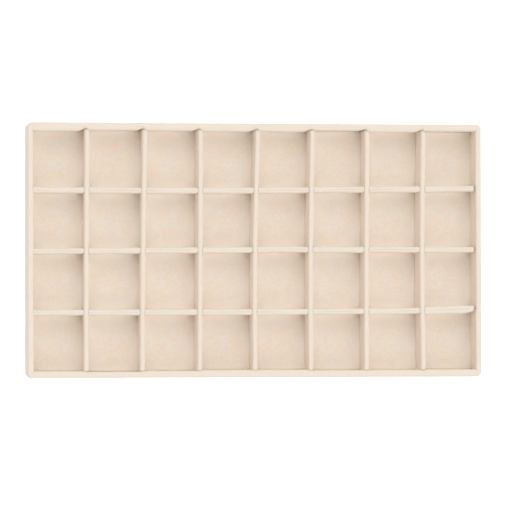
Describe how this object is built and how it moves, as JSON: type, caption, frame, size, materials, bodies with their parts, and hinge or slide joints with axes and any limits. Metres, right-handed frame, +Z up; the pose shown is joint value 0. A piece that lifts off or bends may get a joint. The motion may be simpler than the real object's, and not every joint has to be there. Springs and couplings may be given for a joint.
{
  "type": "jewelry tray",
  "caption": "Flat, low-walled display tray of card covered in beige pile cloth, with an even grid of open near-square compartments between half-lapped dividers.",
  "frame": {"origin": "middle of the underside, on the surface that the tray lies on", "axes": "+X along the length, to the picture's right; +Y to the back, the picture's top; +Z up, out of the compartments"},
  "size_m": [0.3556, 0.197, 0.0254],
  "materials": {
    "greyboard": "matt grey card",
    "pile_cloth": "short brushed pile, pale warm beige",
    "backing_paper": "matt lining paper, beige"
  },
  "bodies": {
    "root": {"backing_sheet": "backing_paper", "base_board": "greyboard", "cross_divider_core_1": "greyboard", "cross_divider_core_2": "greyboard", "cross_divider_core_3": "greyboard", "cross_divider_core_4": "greyboard", "cross_divider_core_5": "greyboard", "cross_divider_core_6": "greyboard", "cross_divider_core_7": "greyboard", "cross_divider_cover_1": "pile_cloth", "cross_divider_cover_2": "pile_cloth", "cross_divider_cover_3": "pile_cloth", "cross_divider_cover_4": "pile_cloth", "cross_divider_cover_5": "pile_cloth", "cross_divider_cover_6": "pile_cloth", "cross_divider_cover_7": "pile_cloth", "floor_card": "greyboard", "floor_lining": "pile_cloth", "long_divider_core_1": "greyboard", "long_divider_core_2": "greyboard", "long_divider_core_3": "greyboard", "long_divider_cover_1": "pile_cloth", "long_divider_cover_2": "pile_cloth", "long_divider_cover_3": "pile_cloth", "wall_board_back": "greyboard", "wall_board_front": "greyboard", "wall_board_left": "greyboard", "wall_board_right": "greyboard", "wall_cover_back": "pile_cloth", "wall_cover_front": "pile_cloth", "wall_cover_left": "pile_cloth", "wall_cover_right": "pile_cloth"}
  },
  "joints": []
}
